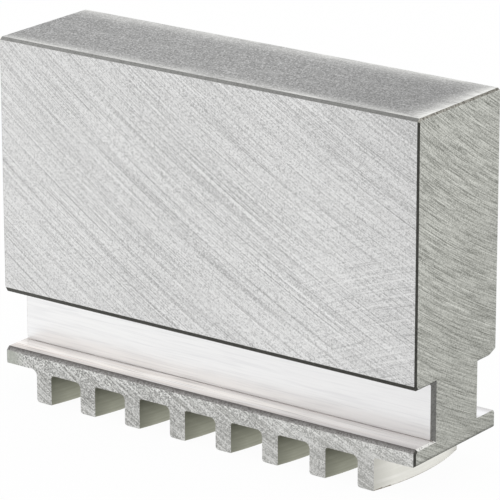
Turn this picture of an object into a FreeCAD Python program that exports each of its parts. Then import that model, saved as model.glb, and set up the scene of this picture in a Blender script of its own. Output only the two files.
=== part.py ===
"""Machinable soft jaw for a scroll chuck: one block of soft steel, milled from the solid.

The upper block is left plain, to be turned to the work.  Under it a narrower web has a guide groove
on each side, and the bar below the grooves carries eight curved teeth for the scroll of the chuck.

Frame: +X from the gripping end outwards along the jaw, +Y across it, +Z up.  The origin is midway along
and midway across, at the level of the tooth tips.
"""
import FreeCAD, Part
import os
import re

import Sketcher

SIZES = [
    ("jaw_length", 71.0, "gripping end to outer end"),
    ("jaw_width", 19.5, "across the block and the toothed bar"),
    ("block_height", 37.55, "plain block above the guide grooves"),
    ("top_inset", 0.45, "broken long edges of the top face, across it"),
    ("top_drop", 0.38, "the same edges, down the sides"),
    ("lower_inset", 0.4, "lower edge of the block over the front groove, across the underside"),
    ("lower_rise", 0.69, "the same edge, up the side"),
    ("eased_inset", 1.5, "lower edge of the block over the back groove, across the underside"),
    ("eased_rise", 0.62, "the same edge, up the side"),
    ("groove_height", 8.3, "guide groove, top of the bar to underside of the block"),
    ("groove_depth", 4.4, "guide groove, in from the side"),
    ("groove_corner", 0.6, "radius between the web and the underside of the block"),
    ("foot_radius", 0.45, "radius between the web and the bar in the back groove"),
    ("relief_radius", 0.15, "grinding relief between the web and the bar in the front groove"),
    ("relief_drop", 0.1, "middle of the relief below the top of the bar"),
    ("bar_thickness", 2.75, "bar, from the roots of the teeth to the groove"),
    ("bar_chamfer", 0.52, "long upper edge of the bar in the front groove"),
    ("back_chamfer", 0.2, "long upper edge of the bar in the back groove"),
    ("tooth_height", 4.6, "root to tip"),
    ("tooth_pitch", 8.0, "pitch of the scroll"),
    ("scroll_radius", 59.0, "middle of the scroll to the tooth that fits its lean best"),
    ("tooth_thickness", 3.56, "tooth, on the centre line"),
    ("first_tooth", 6.37, "gripping end to the first tooth, on the centre line"),
    ("shortest_land", 4.0, "least length of bar beyond the last tooth, on the centre line"),
    ("hollow_radius", 110.0, "tooth flank that faces the gripping end"),
    ("round_radius", 36.3, "tooth flank that faces the outer end"),
    ("hollow_root", 0.9, "root radius at the hollow flank"),
    ("round_root", 0.35, "root radius at the round flank"),
    ("hollow_tip", 0.55, "tip radius at the hollow flank"),
    ("round_tip", 0.3, "tip radius at the round flank"),
    ("tooth_break", 0.14, "broken edge across the foot of each tooth, at both sides"),
    ("land_relief", 0.3, "how much thinner the bar is beyond the end teeth"),
    ("end_chamfer", 0.27, "outline of both end faces"),
    ("web_chamfer", 0.55, "upright end edges of the web in the front groove"),
]

# Sizes that follow from the ones above, as formulas of the same sheet.  The scroll is a spiral, so its
# thread, and the teeth that run in it, lean away from square across the jaw.  The bar carries as many
# teeth as its length has room for, which is eight.  Each tooth gap is milled from both its flanks, by
# cutters that are narrower than the gap and meet inside it.
DERIVED = [
    ("half_length", "=jaw_length / 2"),
    ("half_width", "=jaw_width / 2"),
    ("half_web", "=half_width - groove_depth"),
    ("bar_top", "=tooth_height + bar_thickness"),
    ("block_bottom", "=bar_top + groove_height"),
    ("jaw_top", "=block_bottom + block_height"),
    ("land_level", "=tooth_height + land_relief"),
    ("scroll_lean", "=atan(tooth_pitch / (2 * pi * scroll_radius))"),
    ("tooth_count",
     "=floor((jaw_length - first_tooth - tooth_thickness - shortest_land) / tooth_pitch) + 1"),
    ("gap_width", "=tooth_pitch - tooth_thickness"),
    ("cutter_width", "=gap_width * 2 / 3"),
    ("first_hollow", "=first_tooth - half_length"),
    ("first_round", "=first_hollow + tooth_thickness"),
    ("second_hollow", "=first_hollow + tooth_pitch"),
    ("last_round", "=first_round + tooth_pitch * (tooth_count - 1)"),
    ("inner_land", "=first_tooth + cutter_width"),
    ("outer_land", "=half_length - last_round + cutter_width"),
]

NODE = "soft_jaw"
CLOSE = 1e-4
CUTTER_SWEEP = 90  # degrees, enough to carry a cutter right across the bar


def make_sheet(document):
    """Spreadsheet of the driving sizes and of what follows from them."""
    sheet = document.addObject("Spreadsheet::Sheet", "Sizes")
    rows = SIZES + [(alias, formula, "worked out") for alias, formula in DERIVED]
    for row, (alias, content, note) in enumerate(rows, start=1):
        sheet.set(f"A{row}", alias)
        sheet.set(f"B{row}", str(content))
        sheet.set(f"C{row}", note)
        sheet.setAlias(f"B{row}", alias)
        document.recompute()
    return sheet


def from_sheet(formula):
    """The formula with each name in it looked up in the sheet."""
    return re.sub(r"[a-z]+_[a-z]+", r"Sizes.\g<0>", formula)


def value_of(item, formula):
    """Present value of a formula."""
    return float(item.evalExpression(from_sheet(formula)))


# Sketches

def origin_feature(body, role):
    """One of the body's own origin planes or axes."""
    return next(item for item in body.Origin.OriginFeatures if item.Role == role)


def new_sketch(body, name, plane):
    """Empty sketch on one of the body's origin planes."""
    sketch = body.newObject("Sketcher::SketchObject", name)
    sketch.AttachmentSupport = [(origin_feature(body, plane), "")]
    sketch.MapMode = "FlatFace"
    return sketch


def place_point(sketch, geometry, point, across, up):
    """Tie a point of the sketch to two formulas, measured from the sketch's origin."""
    for kind, formula in (("DistanceX", across), ("DistanceY", up)):
        distance = value_of(sketch, formula)
        number = sketch.addConstraint(Sketcher.Constraint(kind, -1, 1, geometry, point, distance))
        sketch.setExpression(f"Constraints[{number}]", from_sheet(formula))


def draw_polygon(sketch, corners):
    """Closed outline of straight sides through corners given as pairs of formulas."""
    points = [FreeCAD.Vector(value_of(sketch, across), value_of(sketch, up), 0) for across, up in corners]
    following = points[1:] + points[:1]
    for start, end in zip(points, following):
        sketch.addGeometry(Part.LineSegment(start, end))
    for side, (across, up) in enumerate(corners):
        sketch.addConstraint(Sketcher.Constraint("Coincident", side, 2, (side + 1) % len(corners), 1))
        place_point(sketch, side, 1, across, up)


def draw_circle(sketch, across, up, size):
    """One circle about a point, its place and radius given as formulas."""
    centre = FreeCAD.Vector(value_of(sketch, across), value_of(sketch, up), 0)
    radius = value_of(sketch, size)
    sketch.addGeometry(Part.Circle(centre, FreeCAD.Vector(0, 0, 1), radius))
    place_point(sketch, 0, 3, across, up)
    number = sketch.addConstraint(Sketcher.Constraint("Radius", 0, radius))
    sketch.setExpression(f"Constraints[{number}]", from_sheet(size))


# Tests that pick edges by where they lie

def near(value, target):
    """Whether two lengths agree."""
    return abs(value - target) < CLOSE


def in_end_face(edge, half_length):
    """Whether an edge lies in the plane of either end face."""
    box = edge.BoundBox
    return near(box.XLength, 0) and near(abs(box.XMin), half_length)


def is_upright(edge, across):
    """Whether an edge stands upright at a place across the jaw."""
    box = edge.BoundBox
    return near(box.YLength, 0) and not near(box.ZLength, 0) and near(box.YMin, across)


def runs_along(edge, across, level):
    """Whether an edge runs along the jaw, at a place across it and a level."""
    box = edge.BoundBox
    straight = near(box.YLength, 0) and near(box.ZLength, 0)
    return straight and near(box.YMin, across) and near(box.ZMin, level)


def is_flank_arc(edge, radius, levels):
    """Whether an edge is the arc of a tooth flank of some radius, at one of some levels."""
    if not isinstance(edge.Curve, Part.Circle):
        return False
    box = edge.BoundBox
    at_level = near(box.ZLength, 0) and any(near(box.ZMin, level) for level in levels)
    return at_level and near(edge.Curve.Radius, radius)


# Features

def dress_edges(body, kind, name, size, wanted):
    """Fillet or chamfer on those edges of the body's last feature that pass a test."""
    base = body.Tip
    names = [f"Edge{number}" for number, edge in enumerate(base.Shape.Edges, start=1) if wanted(edge)]
    feature = body.newObject(f"PartDesign::{kind}", name)
    feature.Base = (base, names)
    feature.setExpression({"Fillet": "Radius", "Chamfer": "Size"}[kind], from_sheet(size))
    body.Document.recompute()
    if "Invalid" in feature.State:
        raise RuntimeError(f"{name} failed on {len(names)} edges")


def check_cut(body, before):
    """Stop if the body's last cut took nothing away."""
    after = body.Shape.Volume
    print(f"{body.Tip.Name}: took {before - after:.1f} mm3")
    if after > before - CLOSE:
        raise RuntimeError(f"{body.Tip.Name} cuts nothing")


def make_stock(body):
    """The end section run along the jaw: block, web and bar, with their long edges broken."""
    sketch = new_sketch(body, "EndSection", "YZ_Plane")
    draw_polygon(sketch, [
        ("-half_width + tooth_break", "0"),
        ("half_width - tooth_break", "0"),
        ("half_width", "tooth_break"),
        ("half_width", "bar_top - back_chamfer"),
        ("half_width - back_chamfer", "bar_top"),
        ("half_web", "bar_top"),
        ("half_web", "block_bottom"),
        ("half_width - eased_inset", "block_bottom"),
        ("half_width", "block_bottom + eased_rise"),
        ("half_width", "jaw_top - top_drop"),
        ("half_width - top_inset", "jaw_top"),
        ("-half_width + top_inset", "jaw_top"),
        ("-half_width", "jaw_top - top_drop"),
        ("-half_width", "block_bottom + lower_rise"),
        ("-half_width + lower_inset", "block_bottom"),
        ("-half_web", "block_bottom"),
        ("-half_web", "bar_top"),
        ("-half_width + bar_chamfer", "bar_top"),
        ("-half_width", "bar_top - bar_chamfer"),
        ("-half_width", "tooth_break"),
    ])
    stock = body.newObject("PartDesign::Pad", "Stock")
    stock.Profile = sketch
    stock.SideType = "Symmetric"
    stock.setExpression("Length", from_sheet("jaw_length"))
    body.Document.recompute()


def cut_flank(body, name, flank, radius, inside, outside, level):
    """Cut the foot of the bar with a hollow mill: a ring between two radii about an upright axis.

    The axis lies at the flank's radius from the flank's place on the centre line, off to the back by the
    lean of the scroll.  The sketch's own normal points to the front, hence the minus sign.
    """
    before = body.Shape.Volume
    sketch = new_sketch(body, f"{name}Ring", "XZ_Plane")
    sketch.setExpression("AttachmentOffset.Base.x", from_sheet(f"{flank} - {radius} * cos(scroll_lean)"))
    sketch.setExpression("AttachmentOffset.Base.z", from_sheet(f"-{radius} * sin(scroll_lean)"))
    draw_polygon(sketch, [
        (inside, "-tooth_height"),
        (outside, "-tooth_height"),
        (outside, level),
        (inside, level),
    ])
    cut = body.newObject("PartDesign::Groove", name)
    cut.Profile = sketch
    cut.ReferenceAxis = (sketch, ["V_Axis"])
    cut.Angle = CUTTER_SWEEP
    cut.Midplane = True
    body.Document.recompute()
    check_cut(body, before)
    return cut


def cut_lands(body):
    """Clear the bar before the first tooth and beyond the last one."""
    cut_flank(body, "InnerLand", "first_hollow", "hollow_radius",
              "hollow_radius - inner_land", "hollow_radius", "land_level")
    cut_flank(body, "OuterLand", "last_round", "round_radius",
              "round_radius", "round_radius + outer_land", "land_level")


def break_ends(body):
    """Chamfer the outline of both end faces, the web wider in the front groove."""
    half_length = value_of(body, "half_length")
    web_front = -value_of(body, "half_web")
    web_chamfer_end = web_front + value_of(body, "web_chamfer")
    dress_edges(body, "Chamfer", "WebEnds", "web_chamfer",
                lambda edge: in_end_face(edge, half_length) and is_upright(edge, web_front))
    dress_edges(body, "Chamfer", "EndOutlines", "end_chamfer",
                lambda edge: in_end_face(edge, half_length) and not is_upright(edge, web_chamfer_end))


def round_groove_corners(body):
    """Round the upper corner of each guide groove, and the foot of the back one."""
    half_web = value_of(body, "half_web")
    block_bottom = value_of(body, "block_bottom")
    bar_top = value_of(body, "bar_top")
    for side, across in (("Front", -half_web), ("Back", half_web)):
        dress_edges(body, "Fillet", f"{side}Corner", "groove_corner",
                    lambda edge: runs_along(edge, across, block_bottom))
    dress_edges(body, "Fillet", "BackFoot", "foot_radius",
                lambda edge: runs_along(edge, half_web, bar_top))


def cut_gaps(body):
    """Mill the first gap from both its flanks, then repeat it at the pitch of the scroll."""
    before = body.Shape.Volume
    round_side = cut_flank(body, "RoundFlank", "first_round", "round_radius",
                           "round_radius", "round_radius + cutter_width", "tooth_height")
    hollow_side = cut_flank(body, "HollowFlank", "second_hollow", "hollow_radius",
                            "hollow_radius - cutter_width", "hollow_radius", "tooth_height")
    first_gap = before - body.Shape.Volume
    gaps = body.newObject("PartDesign::LinearPattern", "Gaps")
    gaps.Originals = [round_side, hollow_side]
    gaps.Direction = (origin_feature(body, "X_Axis"), [""])
    gaps.Mode = "Spacing"
    gaps.setExpression("Offset", from_sheet("tooth_pitch"))
    gaps.setExpression("Occurrences", from_sheet("tooth_count - 1"))
    body.Tip = gaps
    body.Document.recompute()
    check_cut(body, before - first_gap)


def round_teeth(body):
    """Root and tip radii of the teeth, each flank with its own."""
    roots = [value_of(body, "tooth_height"), value_of(body, "land_level")]
    for side, name in (("round", "Round"), ("hollow", "Hollow")):
        radius = value_of(body, f"{side}_radius")
        dress_edges(body, "Fillet", f"{name}Roots", f"{side}_root",
                    lambda edge: is_flank_arc(edge, radius, roots))
        dress_edges(body, "Fillet", f"{name}Tips", f"{side}_tip",
                    lambda edge: is_flank_arc(edge, radius, [0]))


def cut_relief(body):
    """Run a small round relief along the foot of the web, in the front groove."""
    before = body.Shape.Volume
    sketch = new_sketch(body, "ReliefCircle", "YZ_Plane")
    draw_circle(sketch, "-half_web", "bar_top - relief_drop", "relief_radius")
    relief = body.newObject("PartDesign::Pocket", "Relief")
    relief.Profile = sketch
    relief.SideType = "Symmetric"
    relief.setExpression("Length", from_sheet("jaw_length"))
    body.Document.recompute()
    check_cut(body, before)


def build_jaw(document):
    """The jaw as one body, in the order in which it would be machined."""
    body = document.addObject("PartDesign::Body", NODE)
    body.Label = NODE
    body.Placement = FreeCAD.Placement()
    make_stock(body)
    cut_lands(body)
    break_ends(body)
    round_groove_corners(body)
    cut_gaps(body)
    round_teeth(body)
    cut_relief(body)
    return body


def check_document(document, body):
    """Stop if any object failed, or if the body isn't one sound solid."""
    failed = [item.Name for item in document.Objects if {"Invalid", "Error"} & set(item.State)]
    if failed:
        raise RuntimeError(f"failed: {', '.join(failed)}")
    shape = body.Shape
    if shape.isNull() or not shape.isValid() or len(shape.Solids) != 1:
        raise RuntimeError(f"{body.Label} is not one valid solid")


def main():
    """Build the document, check it and write the jaw."""
    document = FreeCAD.newDocument(NODE)
    make_sheet(document)
    jaw = build_jaw(document)
    check_document(document, jaw)
    os.makedirs("parts", exist_ok=True)
    jaw.Shape.exportStep(os.path.join("parts", f"{jaw.Label}.step"))
    print(f"{jaw.Label}: {jaw.Shape.Volume / 1000:.2f} cm3, {len(jaw.Shape.Faces)} faces")


main()
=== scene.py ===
# %% [markdown]
# # A machinable soft jaw
#
# This lesson dresses one part: a soft jaw for a scroll chuck.  The real jaw is milled and ground from a
# single block of case-hardening steel that is left soft, so its user can turn it to the work.  The shape
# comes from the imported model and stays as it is.  What is left to do here is the finish that each machine
# left on each face, the light and the camera.
#
# The order is: load the model, set the camera, sort the faces by finish, make the tools for the finishes,
# make the finishes one by one, and light the whole.

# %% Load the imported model
import math

import bmesh
import bpy
from mathutils import Matrix, Vector


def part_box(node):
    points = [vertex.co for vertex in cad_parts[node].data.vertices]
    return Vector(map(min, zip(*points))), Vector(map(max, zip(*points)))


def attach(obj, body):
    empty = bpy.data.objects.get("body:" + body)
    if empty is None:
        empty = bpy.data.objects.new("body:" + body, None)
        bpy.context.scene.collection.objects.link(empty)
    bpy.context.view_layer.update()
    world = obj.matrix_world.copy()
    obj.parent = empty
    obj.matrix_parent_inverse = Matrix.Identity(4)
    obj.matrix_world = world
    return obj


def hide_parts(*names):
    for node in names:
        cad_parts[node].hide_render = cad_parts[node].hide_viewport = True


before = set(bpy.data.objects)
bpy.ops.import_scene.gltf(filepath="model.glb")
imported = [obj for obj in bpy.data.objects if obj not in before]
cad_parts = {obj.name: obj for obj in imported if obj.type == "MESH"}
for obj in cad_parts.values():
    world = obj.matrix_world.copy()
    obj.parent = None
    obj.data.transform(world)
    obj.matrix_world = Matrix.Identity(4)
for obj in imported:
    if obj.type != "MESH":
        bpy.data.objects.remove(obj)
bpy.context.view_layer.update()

MM = 0.001
low, high = [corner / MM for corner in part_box("soft_jaw")]
print("jaw, lowest and highest corner in mm:", low, high)

# %% [markdown]
# ## Camera
#
# The jaw stands on its teeth and is seen from the front and a little from its outer end, by a long lens
# from half a metre away.  A short lens close by would make the upright edges lean together, and a long one
# keeps them almost parallel.  The camera could be placed by typing its location and rotation.  Here it is
# placed by the point it looks at, its distance and three angles, so each can be changed by itself.

# %% Camera
AIM = Vector((0.000717, 0.000348, 0.026145))
CAMERA_DISTANCE = 0.52988
AROUND_THE_JAW = math.radians(36.607)
ABOVE_THE_FLOOR = math.radians(18.016)
TILT = math.radians(-0.109)
SENSOR_WIDTH = 36.0
FOCAL_LENGTH = 275.16

camera_data = bpy.data.cameras.new("camera")
camera_data.sensor_width = SENSOR_WIDTH
camera_data.lens = FOCAL_LENGTH
camera = bpy.data.objects.new("camera", camera_data)
bpy.context.scene.collection.objects.link(camera)
turn = (Matrix.Rotation(AROUND_THE_JAW, 4, "Z")
        @ Matrix.Rotation(math.pi / 2 - ABOVE_THE_FLOOR, 4, "X")
        @ Matrix.Rotation(TILT, 4, "Z"))
camera.matrix_world = Matrix.Translation(AIM + turn.to_3x3().col[2] * CAMERA_DISTANCE) @ turn
bpy.context.scene.camera = camera
print("camera at", [round(value, 4) for value in camera.location])

# %% [markdown]
# ## The jaw as one clean mesh
#
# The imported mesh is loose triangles, so no two faces share an edge.  It is left alone, and a copy of it is
# merged, so that its radii can be shaded smooth.  Then the flat areas of the copy are joined up, which
# gives one face for each machined surface, ready for a finish of its own.

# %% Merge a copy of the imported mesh
SAME_POINT = 0.0001 * MM
STILL_FLAT = math.radians(0.05)

steel = bmesh.new()
steel.from_mesh(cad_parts["soft_jaw"].data)
bmesh.ops.remove_doubles(steel, verts=steel.verts, dist=SAME_POINT)
bmesh.ops.dissolve_limit(steel, angle_limit=STILL_FLAT, verts=steel.verts, edges=steel.edges,
                         use_dissolve_boundaries=False)
print("faces after joining:", len(steel.faces))

# %% [markdown]
# ## Which machine made which face
#
# A machinist sees the order of work in the surfaces.  The two sides and two ends of the block are ground
# on a rotary table, the top is left as it was cut, the guide grooves are ground fine because the jaw
# slides on them, the sides of the toothed bar are milled, and the gaps between the teeth are cut in oil
# and drawn dark with painted shade.  The broken edges between them have finishes too.
#
# Faces could be picked by number, but the numbers change with the model.  So each face is sorted by its
# height on the jaw, by where it lies there and by which way it faces.  The heights are measured on the mesh
# itself: the jaw is level in just six places.

# %% Measure where the jaw is flat, in millimetres
ASIDE, UP = 1, 2
# Share of a face's direction that has to point along an axis, from 0 to 1.
SQUARE = 0.99999


def flat_places(axis):
    """Where the faces that are square to an axis lie along it."""
    places = {round(face.calc_center_median()[axis] / MM, 2) for face in steel.faces
              if abs(face.normal[axis]) > SQUARE}
    return sorted(places)


HALF_LENGTH, HALF_WIDTH, TOP = high
_, TEETH_TOP, LAND, BAR_TOP, BLOCK_BOTTOM, _ = flat_places(UP)
_, _, HALF_WEB, _ = flat_places(ASIDE)
print("top of the teeth, lands, top of the bar and bottom of the block:", TEETH_TOP, LAND, BAR_TOP,
      BLOCK_BOTTOM)
print("half the width of the web:", HALF_WEB)

# %% Limits that tell the other faces apart
# The outer flanks of the end teeth lie farther out than this, and no broken edge is wider than that.
LAST_FLANK = 27.0
WIDEST_BREAK = 0.7
HAIR = 0.01
# The same share of direction: a face at least this flat, and one that slants at least this much.
FLAT = 0.999
SLANTED = 0.35


# %% Finish of a face, zone by zone
def block_finish(place, facing):
    """Finish on a slanting face of the block."""
    if place.z > TOP - WIDEST_BREAK and facing.z > SLANTED:
        return "jagged_edge" if facing.x > SLANTED else "top_edge"
    return "dull_edge" if place.y > 0 and facing.z > SLANTED else "dark_edge"


def groove_finish(place):
    """Finish on a face inside the guide grooves, above the bar."""
    if place.x < WIDEST_BREAK - HALF_LENGTH:
        return "pale_edge"
    return "dull_edge" if place.x > HALF_LENGTH - WIDEST_BREAK else "guide_web"


def bar_finish(place, facing):
    """Finish on a face at the top of the bar."""
    if facing.z > FLAT:
        return "guide_bar"
    if facing.y < SLANTED and facing.x > SLANTED:
        return "pale_edge" if place.y < 0 else "ground_end"
    if abs(place.y) < HALF_WIDTH - WIDEST_BREAK:
        return "relief"
    if facing.x > SLANTED:
        return "dark_edge"
    return "speckled_edge" if place.y < 0 else "dull_edge"


def tooth_finish(place, facing):
    """Finish on a face of the teeth or of the gaps between them."""
    if abs(place.x) > HALF_LENGTH - WIDEST_BREAK and facing.x > SLANTED:
        return "dark_edge"
    if facing.y > SLANTED and facing.z > SLANTED:
        return "milled_side"
    if abs(place.x) > LAST_FLANK and facing.x > SLANTED:
        return "stained_edge" if place.z < WIDEST_BREAK and facing.z > SLANTED else "bright_flank"
    return "oiled_gap"


def finish_of(face):
    """Name of the finish on a face, from its middle and from the way it faces."""
    place = face.calc_center_median() / MM
    facing = Vector([abs(part) for part in face.normal])
    if facing.x > FLAT and abs(place.x) > HALF_LENGTH - HAIR:
        return "ground_end"
    if facing.y > FLAT and abs(place.y) > HALF_WIDTH - HAIR:
        return "ground_side" if place.z > BLOCK_BOTTOM else "milled_side"
    if facing.z > FLAT and place.z > TOP - HAIR:
        return "cut_top"
    if place.z > BLOCK_BOTTOM + HAIR:
        return block_finish(place, facing)
    if place.z > BAR_TOP + HAIR:
        return groove_finish(place)
    if place.z > BAR_TOP - WIDEST_BREAK:
        return bar_finish(place, facing)
    return tooth_finish(place, facing)


# %% Sort the faces by finish
sorted_faces = {}
for face in steel.faces:
    sorted_faces.setdefault(finish_of(face), []).append(face)
finish_names = sorted(sorted_faces)
for number, finish in enumerate(finish_names):
    for face in sorted_faces[finish]:
        face.material_index = number
print("faces by finish:", {finish: len(faces) for finish, faces in sorted_faces.items()})

# %% [markdown]
# ## Make the jaw
#
# The radii at the roots and tips of the teeth are many narrow facets.  With all faces shaded flat they
# would look like steps, and with all edges smooth the flat faces would look blown up.  So the faces are
# smooth, and every edge that turns more than a few degrees is kept sharp.

# %% Make the jaw
SHARPEST_SMOOTH_TURN = math.radians(16)

for face in steel.faces:
    face.smooth = True
for edge in steel.edges:
    edge.smooth = edge.calc_face_angle(0) < SHARPEST_SMOOTH_TURN
mesh = bpy.data.meshes.new("jaw")
steel.to_mesh(mesh)
steel.free()
jaw = bpy.data.objects.new("jaw", mesh)
bpy.context.scene.collection.objects.link(jaw)
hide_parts("soft_jaw")
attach(jaw, "root")
print("jaw:", len(mesh.polygons), "faces")

# %% [markdown]
# ## Tools for the finishes
#
# Every finish is a small tree of nodes.  One function turns the hex colours that people share into the
# linear ones that light is worked out in, and one adds a node with its settings and its links.


# %% Two helpers
def linear(hex_colour):
    """Linear colour of an sRGB hex colour."""
    parts = [int(hex_colour[i:i + 2], 16) / 255 for i in (1, 3, 5)]
    return [part / 12.92 if part <= 0.04045 else ((part + 0.055) / 1.055) ** 2.4 for part in parts] + [1]


def add(tree, kind, inputs=None, output=0, **settings):
    """Add a node to a tree, with values or links for its inputs, and give back one of its outputs."""
    node = tree.nodes.new(f"ShaderNode{kind}")
    for name, value in settings.items():
        setattr(node, name, value)
    for name, value in (inputs or {}).items():
        if isinstance(value, bpy.types.NodeSocket):
            tree.links.new(value, node.inputs[name])
        else:
            node.inputs[name].default_value = value
    return node.outputs[output] if node.outputs else node


# %% Sockets that are reached by number
# A Math node names all its inputs alike, so they go by number: 0, 1 and 2.  A Mix node has sockets for
# several kinds of value under the same names.  For colours these are the share, the colour to start from
# and the colour to end at.
SHARE, START_COLOUR, END_COLOUR = 0, 6, 7
BLENDED = {"output": 2, "data_type": "RGBA"}

# A Map Range node that works on three numbers at once has its limits here.
FROM_PLACE, TO_PLACE = 7, 8
BY_PARTS = {"output": 1, "data_type": "FLOAT_VECTOR"}

# %% [markdown]
# ## A finish is layers of marks
#
# A cutter or a grinding wheel leaves marks that are all alike: long and thin along its path, or round
# grains where there is no path.  An image of real steel could be laid on the faces, but it would repeat,
# and it would blur up close.  So each finish starts from one plain colour and lays marks over it, a layer
# for each kind.  The marks are noise that is squeezed across them and stretched along them; where the
# noise is high there is a mark.
#
# A layer is a row of six values: how wide and how long one mark is in millimetres, the noise at which a
# mark starts, the noise at which it is full, how strongly it colours, and its colour.


# %% Places to lay marks along
def millimetres(tree):
    """The object's own coordinates in millimetres, as one vector and as its parts X, Y and Z."""
    place = add(tree, "TexCoord", output="Object")
    place = add(tree, "VectorMath", {0: place, "Scale": 1 / MM}, operation="SCALE")
    return place, add(tree, "SeparateXYZ", {"Vector": place}).node.outputs


def from_sides(tree, parts):
    """Distance in millimetres from the nearer side of the jaw."""
    aside = add(tree, "Math", {0: parts["Y"]}, operation="ABSOLUTE")
    return add(tree, "Math", {0: HALF_WIDTH, 1: aside}, operation="SUBTRACT")


def along_the_jaw(tree, parts):
    """Place on a face that is ground along the jaw: across the marks, then along them."""
    across = add(tree, "Math", {0: parts["Y"], 1: parts["Z"]}, operation="ADD")
    return add(tree, "CombineXYZ", {"X": across, "Y": parts["X"]})


# %% Places on the arcs of the rotary grinder
# For each set of arcs: the middle, along and up from the jaw's origin, and the radius at which a
# millimetre along the arc is a true one.
GRINDING_ARCS = {
    "side": ((145.0, 285.0), 290.0),
    "side, crossing": ((86.0, -135.0), 190.0),
    "end": ((75.0, 164.0), 150.0),
}


def round_arcs(tree, parts, name):
    """Place on a flat face as distance from the middle of a set of arcs and way round them."""
    (right, up), true_radius = GRINDING_ARCS[name]
    flat = parts["Y" if name == "end" else "X"]
    from_middle = add(tree, "Math", {0: flat, 1: right}, operation="SUBTRACT")
    above_middle = add(tree, "Math", {0: parts["Z"], 1: up}, operation="SUBTRACT")
    spoke = add(tree, "CombineXYZ", {"X": from_middle, "Y": above_middle})
    radius = add(tree, "VectorMath", {0: spoke}, output="Value", operation="LENGTH")
    angle = add(tree, "Math", {0: above_middle, 1: from_middle}, operation="ARCTAN2")
    way = add(tree, "Math", {0: angle, 1: true_radius}, operation="MULTIPLY")
    return add(tree, "CombineXYZ", {"X": radius, "Y": way})


# %% Lay the marks
SEED_STEP = 3.7


def marks(tree, place, width, length, start, full, strength, seed):
    """How strong a mark is at a place: nothing where the noise is at start, full strength at full."""
    squeezed = add(tree, "VectorMath", {0: place, 1: (1 / width, 1 / length, 1 / width),
                                        2: (0, 0, seed)}, operation="MULTIPLY_ADD")
    noise = add(tree, "TexNoise", {"Vector": squeezed, "Scale": 1.0, "Detail": 1.0, "Roughness": 0.5})
    return add(tree, "MapRange", {"Value": noise, "From Min": start, "From Max": full,
                                  "To Min": 0.0, "To Max": strength})


def lay(tree, colour, place, layers, seed):
    """Lay some layers of marks over a colour."""
    for width, length, start, full, strength, tint in layers:
        seed += SEED_STEP
        share = marks(tree, place, width, length, start, full, strength, seed)
        colour = add(tree, "Mix", {SHARE: share, START_COLOUR: colour, END_COLOUR: linear(tint)}, **BLENDED)
    return colour


def fade(tree, colour, amount, none, full, strength, tint):
    """Colour a face more and more while an amount goes from none to full."""
    share = add(tree, "MapRange", {"Value": amount, "From Min": none, "From Max": full, "To Max": strength})
    return add(tree, "Mix", {SHARE: share, START_COLOUR: colour, END_COLOUR: linear(tint)}, **BLENDED)


# %% [markdown]
# ## From a colour to a steel
#
# Bare steel is a metal through and through, so its colour is what it reflects, and how sharp it reflects is
# set by its roughness.  A dark mark is a torn or a deeper one.  So one colour drives all three: the darker
# it is, the rougher and the deeper is the steel there.  Separate noise for each would fall out of step
# with the marks.

# %% Start and end a finish
# How bright the steel is where it is torn and where it is clean.
TORN, CLEAN = 0.15, 0.85

finishes = {}


def new_finish(name):
    """A new steel: its material and its tree."""
    material = bpy.data.materials.new(name)
    material.use_nodes = True
    material.node_tree.nodes["Principled BSDF"].inputs["Metallic"].default_value = 1.0
    return material, material.node_tree


def finish_with(material, colour, smoothest, roughest, depth):
    """Give the steel its colour, and a roughness and a depth in millimetres that follow from it."""
    tree = material.node_tree
    shader = tree.nodes["Principled BSDF"]
    roughness = add(tree, "MapRange", {"Value": colour, "From Min": TORN, "From Max": CLEAN,
                                       "To Min": roughest, "To Max": smoothest})
    bump = add(tree, "Bump", {"Height": colour, "Distance": depth * MM, "Strength": 1.0})
    for name, value in (("Base Color", colour), ("Roughness", roughness), ("Normal", bump)):
        tree.links.new(value, shader.inputs[name])
    print(f"{material.name}: {len(tree.nodes)} nodes")
    return material


# %% [markdown]
# ## Ground sides
#
# Case-hardening steel from a rotary grinder.  The cup wheel drags over the block, so the marks are arcs of
# a circle far larger than the jaw, and give the eye a silvery face full of fine slanting lines, some
# bright, some dark.  Straight lines would be simpler, but the real ones bend, and their slope changes from
# one end of the face to the other.  Towards one end a second set crosses them, from the way out of the
# wheel.  Real marks are a few hundredths of a millimetre wide, too fine to show; the finest are drawn
# 0.16 mm wide.

# %% Marks of the ground sides
SIDE_MARKS = [
    # width, length, start, full, strength, tint
    (26.0, 40.0, 0.40, 0.62, 0.15, "#cdcdcc"),
    (1.10, 50.0, 0.45, 0.75, 0.04, "#bebebd"),
    (0.40, 40.0, 0.46, 0.70, 0.09, "#b2b2b1"),
    (0.36, 34.0, 0.46, 0.70, 0.09, "#f4f4f3"),
    (0.17, 20.0, 0.45, 0.62, 0.54, "#a2a2a2"),
    (0.16, 17.0, 0.45, 0.62, 0.54, "#fcfcfb"),
    (0.19, 50.0, 0.65, 0.69, 0.58, "#ffffff"),
    (0.18, 40.0, 0.66, 0.70, 0.54, "#808080"),
]
CROSSING_MARKS = [
    (0.22, 16.0, 0.58, 0.70, 0.50, "#fbfbfa"),
    (0.20, 12.0, 0.60, 0.72, 0.45, "#969696"),
]
GRAIN_MARKS = [
    (0.20, 0.26, 0.46, 0.68, 0.54, "#999999"),
    (0.18, 0.24, 0.46, 0.68, 0.56, "#f8f8f8"),
]
# The second set starts to cross the first at one place and crosses it fully at the other.
CROSSED_FROM = Vector((10.0, 0.0, 46.0))
CROSSED_FULLY = Vector((28.0, 0.0, 30.0))
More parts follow.
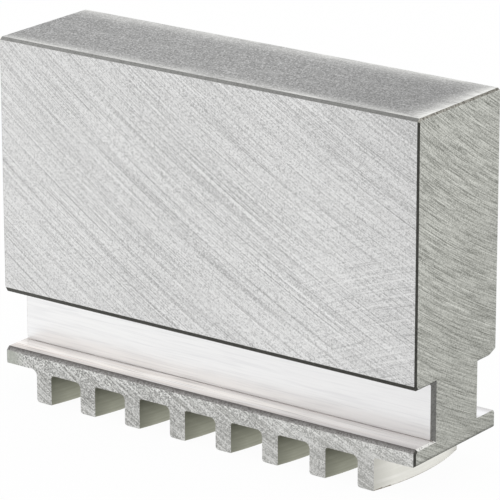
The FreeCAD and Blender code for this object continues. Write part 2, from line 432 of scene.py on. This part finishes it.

# %% Ground sides, with painted light towards the gripping end and painted shade towards the outer end
material, tree = new_finish("rotary_ground_steel_side")
place, parts = millimetres(tree)
colour = lay(tree, linear("#e2e2e1"), round_arcs(tree, parts, "side"), SIDE_MARKS, seed=1)
colour = lay(tree, colour, place, GRAIN_MARKS, seed=8)
crossed = lay(tree, colour, round_arcs(tree, parts, "side, crossing"), CROSSING_MARKS, seed=30)
share = add(tree, "MapRange", {"Vector": place, FROM_PLACE: CROSSED_FROM, TO_PLACE: CROSSED_FULLY},
            **BY_PARTS)
share = add(tree, "SeparateXYZ", {"Vector": share}).node.outputs
share = add(tree, "Math", {0: share["X"], 1: share["Z"]}, operation="MULTIPLY")
colour = add(tree, "Mix", {SHARE: share, START_COLOUR: colour, END_COLOUR: crossed}, **BLENDED)
# Painted light towards the gripping end and painted shade towards the outer end, as the light falls off
# along the jaw.
colour = fade(tree, colour, parts["X"], none=-10.0, full=-HALF_LENGTH, strength=0.15, tint="#f4f4f3")
colour = fade(tree, colour, parts["X"], none=18.0, full=HALF_LENGTH, strength=0.13, tint="#8e8e8d")
finishes["ground_side"] = finish_with(material, colour, smoothest=0.34, roughest=0.5, depth=0.004)

# %% [markdown]
# ## Ground ends
#
# The ends come from the same grinder, but on a smaller circle.  They give the eye a faintly green grey with
# shorter lines than the sides have.  Their plain colour is darker than the sides', partly for a duller
# finish and partly as painted shade, for the ends face away from the light, and painted shade darkens them
# further towards the bottom and the back.  Copying the sides' finish would miss that, so they have their
# own arcs and marks.  A thin band along the lower edge is darker.  The finest marks are drawn 0.16 mm wide
# here too.

# %% Marks of the ground ends
END_MARKS = [
    (5.0, 9.0, 0.42, 0.68, 0.18, "#9d9e97"),
    (1.20, 9.0, 0.45, 0.72, 0.18, "#9a9b94"),
    (1.00, 8.0, 0.45, 0.72, 0.16, "#c6c7c0"),
    (0.45, 8.0, 0.45, 0.68, 0.24, "#8e8f88"),
    (0.42, 7.0, 0.45, 0.68, 0.22, "#cecfc8"),
    (0.17, 7.0, 0.44, 0.60, 0.70, "#7b7c75"),
    (0.16, 6.0, 0.44, 0.60, 0.70, "#dedfd8"),
    (0.18, 11.0, 0.63, 0.68, 0.55, "#66675f"),
    (0.18, 9.0, 0.63, 0.68, 0.60, "#f2f3ec"),
]
END_GRAIN_MARKS = [
    (0.20, 0.26, 0.46, 0.66, 0.50, "#80817b"),
    (0.18, 0.24, 0.46, 0.66, 0.50, "#e2e3dc"),
]
# The broken edge round the end is this wide, and the darker band reaches up from it this far, in
# millimetres.
END_BREAK = 0.27
LOWER_EDGE = LAND + END_BREAK
DARK_BAND_REACH = 0.35

# %% Ground ends
material, tree = new_finish("rotary_ground_steel_end")
place, parts = millimetres(tree)
# The plain colour is darker than the sides' partly as painted shade.
colour = lay(tree, linear("#bdbeb7"), round_arcs(tree, parts, "end"), END_MARKS, seed=40)
colour = lay(tree, colour, place, END_GRAIN_MARKS, seed=48)
up_and_forwards = add(tree, "Math", {0: parts["Z"], 1: parts["Y"]}, operation="SUBTRACT")
# Painted shade, darker towards the bottom and the back.
colour = fade(tree, colour, up_and_forwards, none=46.0, full=-2.0, strength=0.3, tint="#7d7e76")
# A darker band along the lower edge.
colour = fade(tree, colour, parts["Z"], none=LOWER_EDGE + DARK_BAND_REACH, full=LOWER_EDGE, strength=0.55,
              tint="#55564f")
finishes["ground_end"] = finish_with(material, colour, smoothest=0.4, roughest=0.55, depth=0.004)

# %% [markdown]
# ## Top face
#
# The same steel, sawn and faced but never ground: a dull grey with an even grain, which gives the eye a
# sandy face with no direction.  The real grain is about 0.05 mm, too fine to show, and is drawn 0.2 mm.
#
# It has been rubbed paler along its edges, unevenly, where the jaw has been handled and where its
# neighbours lay against it.  The rub could be painted, but then it would not follow a change of size.  Here
# it grows with nearness to each edge, and patches and scuffs of noise break it up.

# %% Marks of the top face and how far the rub reaches
TOP_MARKS = [
    (3.0, 1.6, 0.45, 0.75, 0.30, "#b2b2b1"),
    (0.42, 0.46, 0.42, 0.68, 0.50, "#7c7c7c"),
    (0.36, 0.40, 0.42, 0.68, 0.52, "#c2c2c2"),
    (0.20, 0.20, 0.44, 0.66, 0.62, "#666666"),
    (0.20, 0.26, 0.48, 0.68, 0.66, "#dedede"),
    (4.00, 0.70, 0.62, 0.78, 0.40, "#d6d6d5"),
]
RUBBED_STEEL = "#f4f4f1"
# How far the rub reaches in from each edge, in millimetres, and how strong it is at the edge.
FRONT_RUB = (4.0, 0.84)
BACK_RUB = (6.0, 0.82)
OUTER_END_RUB = (5.2, 1.20)
FULLY_RUBBED = 0.3
RUB_FALLS_OFF = 2.4
# Width, length, start, full and strength of the noise that breaks up the rub, and the least that is left.
PATCHES = (8.0, 2.5, 0.30, 0.65, 0.35)
SCUFFS = (2.6, 0.35, 0.35, 0.62, 0.35)
LEAST_LEFT = 0.38

# %% Top face
material, tree = new_finish("faced_steel_top")
place, parts = millimetres(tree)
from_front = add(tree, "Math", {0: parts["Y"], 1: HALF_WIDTH}, operation="ADD")
from_back = add(tree, "Math", {0: HALF_WIDTH, 1: parts["Y"]}, operation="SUBTRACT")
from_outer_end = add(tree, "Math", {0: HALF_LENGTH, 1: parts["X"]}, operation="SUBTRACT")
rub = 0.0
for inwards, (reach, strength) in ((from_front, FRONT_RUB), (from_back, BACK_RUB),
                                   (from_outer_end, OUTER_END_RUB)):
    near = add(tree, "MapRange", {"Value": inwards, "From Min": reach, "From Max": FULLY_RUBBED})
    near = add(tree, "Math", {0: near, 1: RUB_FALLS_OFF}, operation="POWER")
    near = add(tree, "Math", {0: near, 1: strength}, operation="MULTIPLY")
    rub = add(tree, "Math", {0: rub, 1: near}, operation="MAXIMUM")
patches = marks(tree, place, *PATCHES, seed=55)
scuffs = marks(tree, place, *SCUFFS, seed=56)
unevenness = add(tree, "Math", {0: patches, 1: scuffs}, operation="ADD")
unevenness = add(tree, "Math", {0: unevenness, 1: LEAST_LEFT}, operation="ADD")
share = add(tree, "Math", {0: rub, 1: unevenness}, operation="MULTIPLY")
colour = lay(tree, linear("#a4a4a3"), place, TOP_MARKS, seed=60)
# Painted shade towards the outer end.
colour = fade(tree, colour, parts["X"], none=5.0, full=26.0, strength=0.2, tint="#6c6c6b")
colour = add(tree, "Mix", {SHARE: share, START_COLOUR: colour, END_COLOUR: linear(RUBBED_STEEL)}, **BLENDED)
finishes["cut_top"] = finish_with(material, colour, smoothest=0.5, roughest=0.65, depth=0.008)

# %% [markdown]
# ## Guides
#
# The web and the top of the bar are ground along the jaw with a fine wheel, because the jaw slides on
# them, and are its brightest faces: long soft lines, almost white.  The top of the bar has picked up a
# faint brown from the oil of the chuck.  One finish for both would be less work, but the web is silkier
# than the bar and mirrors less.  The real lines are some hundredths of a millimetre wide and are drawn
# about 0.2 mm wide, soft enough not to look coarse.

# %% Marks of the guides
WEB_MARKS = [
    (0.50, 14.0, 0.46, 0.74, 0.22, "#dedee0"),
    (0.22, 7.0, 0.48, 0.72, 0.30, "#d4d4d8"),
    (0.26, 12.0, 0.50, 0.74, 0.60, "#ffffff"),
]
BAR_TOP_MARKS = [
    (0.90, 40.0, 0.46, 0.62, 0.26, "#efdcd6"),
    (0.50, 26.0, 0.50, 0.62, 0.32, "#d2cecc"),
    (0.26, 16.0, 0.50, 0.64, 0.75, "#fffdfc"),
    (0.22, 9.0, 0.54, 0.68, 0.60, "#b0acaa"),
]

# %% Web, with painted light at its foot and painted shade above and towards its outer end
# A millimetre up counts for as much as four along.
SHADE_WEIGHT_OF_HEIGHT = 4.0

material, tree = new_finish("fine_ground_steel_web")
place, parts = millimetres(tree)
colour = lay(tree, linear("#ffffff"), along_the_jaw(tree, parts), WEB_MARKS, seed=70)
web_painted_shade = add(tree, "Math", {0: parts["Z"], 1: SHADE_WEIGHT_OF_HEIGHT, 2: parts["X"]}, operation="MULTIPLY_ADD")
# Painted light along the foot, where the top of the bar throws light up onto the web; it fades upwards.
colour = fade(tree, colour, parts["Z"], none=BAR_TOP + 0.6, full=BAR_TOP + 3.5, strength=0.2,
              tint="#f4f4f3")
# Painted shade, growing upwards and towards the outer end.
colour = fade(tree, colour, web_painted_shade, none=30.0, full=SHADE_WEIGHT_OF_HEIGHT * BLOCK_BOTTOM + HALF_LENGTH,
              strength=0.5, tint="#dddcdd")
finishes["guide_web"] = finish_with(material, colour, smoothest=0.32, roughest=0.38, depth=0.002)

# %% Top of the bar, clean behind the web, painted shade outwards and at the web's foot, darker at the front edge
GROOVE_DEPTH = HALF_WIDTH - HALF_WEB
# How far in from the side, in millimetres, the painted shade at the foot of the web and the darker band
# at the front edge start and are full, and how strong they are.
PAINTED_SHADE_AT_FOOT = {"From Min": GROOVE_DEPTH - 1.6, "From Max": GROOVE_DEPTH - 0.1, "To Max": 0.5}
DARKENING_AT_FRONT = {"From Min": 1.9, "From Max": 0.5, "To Max": 0.5}

material, tree = new_finish("fine_ground_steel_bar")
place, parts = millimetres(tree)
colour = lay(tree, linear("#fff9f3"), along_the_jaw(tree, parts), BAR_TOP_MARKS, seed=80)
# Painted shade that grows towards the outer end, on the front part of the bar's top.
shade_towards_outer_end = add(tree, "MapRange", {"Value": parts["Y"], "From Min": HALF_WEB, "From Max": -HALF_WEB,
                                      "To Min": -HALF_LENGTH, "To Max": 0.0})
shade_towards_outer_end = add(tree, "Math", {0: parts["X"], 1: shade_towards_outer_end}, operation="ADD")
colour = fade(tree, colour, shade_towards_outer_end, none=-8.0, full=HALF_LENGTH, strength=0.6, tint="#c9c8c9")
colour = fade(tree, colour, parts["Y"], none=0.0, full=HALF_WEB, strength=0.9, tint="#f8f9fc")
inwards = from_sides(tree, parts)
# Painted shade at the foot of the web, and a darker band along the front edge.
foot = add(tree, "MapRange", {"Value": inwards, **PAINTED_SHADE_AT_FOOT})
front = add(tree, "MapRange", {"Value": inwards, **DARKENING_AT_FRONT})
share = add(tree, "Math", {0: foot, 1: front}, operation="MAXIMUM")
colour = add(tree, "Mix", {SHARE: share, START_COLOUR: colour, END_COLOUR: linear("#a29c9a")}, **BLENDED)
finishes["guide_bar"] = finish_with(material, colour, smoothest=0.2, roughest=0.3, depth=0.002)

# %% Relief at the foot of the web
material, tree = new_finish("fine_ground_steel_relief")
place, parts = millimetres(tree)
colour = lay(tree, linear("#fbf8f6"), along_the_jaw(tree, parts), BAR_TOP_MARKS[:2], seed=85)
finishes["relief"] = finish_with(material, colour, smoothest=0.4, roughest=0.5, depth=0.002)

# %% [markdown]
# ## Sides of the toothed bar
#
# Case-hardening steel as the milling cutter left it: torn rather than cut, so it gives the eye a grey
# speckle of bright and dark grains with short slanting scratches over it.  Grains alone would look like
# cast iron, and scratches alone like the ground sides.  The first few millimetres at the gripping end were
# rubbed on the stone and are smooth.  Real torn grains are about 0.05 mm and are drawn 0.17 to 0.3 mm.

# %% Marks of the bar's sides
MILLED_MARKS = [
    (0.80, 1.00, 0.44, 0.70, 0.35, "#adadaa"),
    (0.30, 0.30, 0.46, 0.64, 0.54, "#8a8a88"),
    (0.22, 0.22, 0.46, 0.62, 0.66, "#fafaf8"),
    (0.17, 0.17, 0.46, 0.60, 0.78, "#6c6c6a"),
]
MILLED_SCRATCHES = [
    (0.22, 7.0, 0.52, 0.64, 0.66, "#f8f8f6"),
    (0.20, 5.0, 0.53, 0.65, 0.56, "#81817b"),
]
STONED_FROM = 3.6 - HALF_LENGTH
STONED_FULLY = 1.4 - HALF_LENGTH

# %% Sides of the toothed bar, with painted shade towards the outer end, and darker on the teeth
material, tree = new_finish("milled_steel_bar_side")
place, parts = millimetres(tree)
colour = lay(tree, linear("#f5f5f2"), place, MILLED_MARKS, seed=95)
colour = lay(tree, colour, round_arcs(tree, parts, "side"), MILLED_SCRATCHES, seed=90)
# Painted shade towards the outer end.
colour = fade(tree, colour, parts["X"], none=-20.0, full=25.0, strength=0.35, tint="#cfcfcc")
colour = fade(tree, colour, parts["Z"], none=BAR_TOP - 0.4, full=TEETH_TOP - 0.6, strength=0.3,
              tint="#a3a3a0")
colour = fade(tree, colour, parts["X"], none=STONED_FROM, full=STONED_FULLY, strength=0.85, tint="#bdc0b8")
finishes["milled_side"] = finish_with(material, colour, smoothest=0.42, roughest=0.58, depth=0.010)

# %% [markdown]
# ## Gaps between the teeth
#
# The gaps are cut by a hollow mill that runs in oil, whose marks follow the gap across the bar.  Inside
# the gaps the steel is drawn darker and a little green, as painted shade.  The shade in the roots comes
# from the light by itself, but is too faint alone, so more shade is painted there, and the gaps are drawn
# darker along both sides of the bar as well.  The outer flanks of the end teeth are cut the same way and
# lie open to the light, so they keep the bright colour.  The cutter's marks are a few tenths of a
# millimetre wide, coarse enough to be drawn as they are.

# %% Marks of the gaps, and where the painted shade and the darker sides are
GAP_MARKS = [
    (2.2, 9.0, 0.40, 0.66, 0.18, "#97988a"),
    (0.60, 7.0, 0.46, 0.70, 0.16, "#bdbeb0"),
    (0.25, 6.0, 0.50, 0.70, 0.20, "#7d7e70"),
]
FLANK_MARKS = [
    (1.6, 12.0, 0.45, 0.70, 0.50, "#dcdbd2"),
    (0.40, 9.0, 0.50, 0.72, 0.50, "#f8f7f2"),
]
# Where the painted shade in the roots and the darkening along the sides start and are full, as a height
# and as a distance from the sides, and their strength.
PAINTED_SHADE_IN_ROOTS = {"From Min": 1.6, "From Max": TEETH_TOP, "To Max": 0.58}
DARKENING_AT_SIDES = {"From Min": 2.8, "From Max": 0.0, "To Max": 0.36}

# %% Gaps
material, tree = new_finish("milled_steel_gap_painted_shade")
place, parts = millimetres(tree)
across_the_bar = add(tree, "CombineXYZ", {"X": parts["Z"], "Y": parts["Y"]})
# The gaps' steel is the bright flanks' steel drawn darker, as painted shade.
colour = lay(tree, linear("#a7a899"), across_the_bar, GAP_MARKS, seed=100)
# Painted shade, deepest in the roots, and a darker band along both sides of the bar.
root = add(tree, "MapRange", {"Value": parts["Z"], **PAINTED_SHADE_IN_ROOTS})
rim = add(tree, "MapRange", {"Value": from_sides(tree, parts), **DARKENING_AT_SIDES})
root_shade_and_side_darkening = add(tree, "Math", {0: root, 1: rim}, operation="MAXIMUM")
colour = add(tree, "Mix", {SHARE: root_shade_and_side_darkening, START_COLOUR: colour, END_COLOUR: linear("#45463c")}, **BLENDED)
finishes["oiled_gap"] = finish_with(material, colour, smoothest=0.4, roughest=0.5, depth=0.006)

# %% Bright flanks, a little darker along the sides
material, tree = new_finish("milled_steel_flank")
place, parts = millimetres(tree)
across_the_bar = add(tree, "CombineXYZ", {"X": parts["Z"], "Y": parts["Y"]})
colour = lay(tree, linear("#ebeae3"), across_the_bar, FLANK_MARKS, seed=110)
colour = fade(tree, colour, from_sides(tree, parts), none=3.6, full=0.0, strength=0.5, tint="#a7a69f")
finishes["bright_flank"] = finish_with(material, colour, smoothest=0.4, roughest=0.5, depth=0.004)

# %% [markdown]
# ## Broken edges
#
# The edges are broken with a chamfer cutter or a file.  The steel there is coarser than the ground faces
# and is drawn dark beside them, partly for that and partly as painted shade and painted dark reflections.
# The edges that face down or stand upright are darkest.  Those along the top, in the back groove and at
# the outer end of the web are grey.  Painted light brightens the darkest edges towards the gripping end,
# and painted shade darkens the top's front edge towards the outer end.  The end edges of the top are
# filed by hand and patchy, and the long edge of the bar is speckled.  The ends of the bar's top and the
# inner end of the web were rubbed bright and are pale, and the tips of the outer flanks are stained brown.
#
# The grains are drawn 0.2 to 0.3 mm wide, coarser than the real ones, so that they show.  Each kind could
# have a cell of its own, but all seven are made alike, so they share one loop and differ only in a table.

# %% The seven kinds of broken edge
EDGES = {
    # finish: material, plain colour, fading (axis, none, full, strength, tint), marks
    # Dark partly as painted shade; its fading along X is painted light towards the gripping end.
    "dark_edge": (
        "chamfered_steel_dark", "#52524e", ("X", 20.0, -HALF_LENGTH, 0.22, "#8c8c86"),
        [(0.60, 0.60, 0.45, 0.70, 0.5, "#64645f"), (0.25, 0.25, 0.50, 0.72, 0.5, "#383835")]),
    "dull_edge": (
        "chamfered_steel_dull", "#858582", None,
        [(0.70, 0.70, 0.45, 0.70, 0.5, "#949491"), (0.25, 0.25, 0.48, 0.72, 0.6, "#646461")]),
    # Its fading along X is painted shade towards the outer end.
    "top_edge": (
        "chamfered_steel_top", "#a0a09e", ("X", -HALF_LENGTH, HALF_LENGTH, 0.4, "#72726f"),
        [(0.70, 0.70, 0.45, 0.70, 0.5, "#aeaeac"), (0.25, 0.25, 0.48, 0.72, 0.6, "#7c7c79")]),
    "jagged_edge": (
        "filed_steel_end", "#aaa8a0", ("Y", -6.0, HALF_WIDTH, 0.5, "#77756e"),
        [(0.50, 0.50, 0.47, 0.54, 0.85, "#736e67"), (0.28, 0.28, 0.54, 0.62, 0.7, "#d2d1ca")]),
    "pale_edge": (
        "filed_steel_bright", "#f2f1ee", None,
        [(0.50, 0.50, 0.48, 0.62, 0.5, "#fdfcfa"), (0.30, 0.30, 0.54, 0.64, 0.6, "#9c9b97")]),
    "stained_edge": (
        "stained_steel_tip", "#8c8070", None,
        [(0.50, 0.50, 0.48, 0.62, 0.5, "#a39885"), (0.30, 0.30, 0.54, 0.64, 0.6, "#6b6255")]),
    "speckled_edge": (
        "chamfered_steel_bar", "#a5a3a1", ("Z", BAR_TOP - 0.45, BAR_TOP, 0.75, "#5c5856"),
        [(0.30, 0.30, 0.46, 0.64, 0.7, "#6e6b69"), (0.20, 0.20, 0.50, 0.68, 0.7, "#c8c7c6")]),
}

# %% Broken edges
for seed, (finish, (name, plain, fading, layers)) in enumerate(EDGES.items(), start=120):
    material, tree = new_finish(name)
    place, parts = millimetres(tree)
    colour = lay(tree, linear(plain), place, layers, seed)
    if fading:
        axis, none, full, strength, tint = fading
        colour = fade(tree, colour, parts[axis], none, full, strength, tint)
    finishes[finish] = finish_with(material, colour, smoothest=0.5, roughest=0.6, depth=0.008)

# %% Give the jaw its finishes, in the order in which its faces were numbered
for finish in finish_names:
    mesh.materials.append(finishes[finish])
print("finishes:", [material.name for material in mesh.materials])

# %% [markdown]
# ## Floor, backdrop and light
#
# The jaw stands on white paper in a light tent.  Lamps would put bright spots and dark gaps in the
# reflections of bare steel.  A tent lights it evenly from all round, so the steel has nothing dark to
# reflect, and the shade, the fall of light along the jaw and the dark reflections are painted into the
# finishes instead.  The paper and the tent are white to the camera and in the steel's reflections, but the
# paper takes the jaw's shadow as well.

# %% Floor
FLOOR_REACH = 3.0
WHITE_SHARE = 0.96
WHITE = linear("#ffffff")


def seen_or_reflected(tree):
    """1 for rays from the camera and for those that metal or glass sends on, else 0."""
    rays = add(tree, "LightPath").node.outputs
    seen = add(tree, "Math", {0: rays["Is Camera Ray"], 1: rays["Is Glossy Ray"]}, operation="MAXIMUM")
    return add(tree, "Math", {0: seen, 1: rays["Is Transmission Ray"]}, operation="MAXIMUM")


floor_mesh = bpy.data.meshes.new("floor")
sheet = bmesh.new()
bmesh.ops.create_grid(sheet, x_segments=1, y_segments=1, size=FLOOR_REACH)
sheet.to_mesh(floor_mesh)
sheet.free()
floor = bpy.data.objects.new("floor", floor_mesh)
bpy.context.scene.collection.objects.link(floor)

paper = bpy.data.materials.new("white_paper")
paper.use_nodes = True
tree = paper.node_tree
tree.nodes.clear()
lit = add(tree, "BsdfDiffuse", {"Color": WHITE})
white = add(tree, "Emission", {"Color": WHITE, "Strength": 1.0})
share = add(tree, "Math", {0: seen_or_reflected(tree), 1: WHITE_SHARE}, operation="MULTIPLY")
surface = add(tree, "MixShader", {0: share, 1: lit, 2: white})
add(tree, "OutputMaterial", {"Surface": surface})
floor_mesh.materials.append(paper)
print("floor:", len(floor_mesh.polygons), "face,", 2 * FLOOR_REACH, "m wide")

# %% Tent light
TENT_LEVEL = 0.95

world = bpy.data.worlds.new("tent")
bpy.context.scene.world = world
world.use_nodes = True
tree = world.node_tree
strength = add(tree, "MapRange", {"Value": seen_or_reflected(tree), "To Min": TENT_LEVEL, "To Max": 1.0})
background = tree.nodes["Background"]
tree.links.new(strength, background.inputs["Strength"])
background.inputs["Color"].default_value = WHITE
bpy.context.scene.view_settings.view_transform = "Standard"
print("tent level:", TENT_LEVEL)
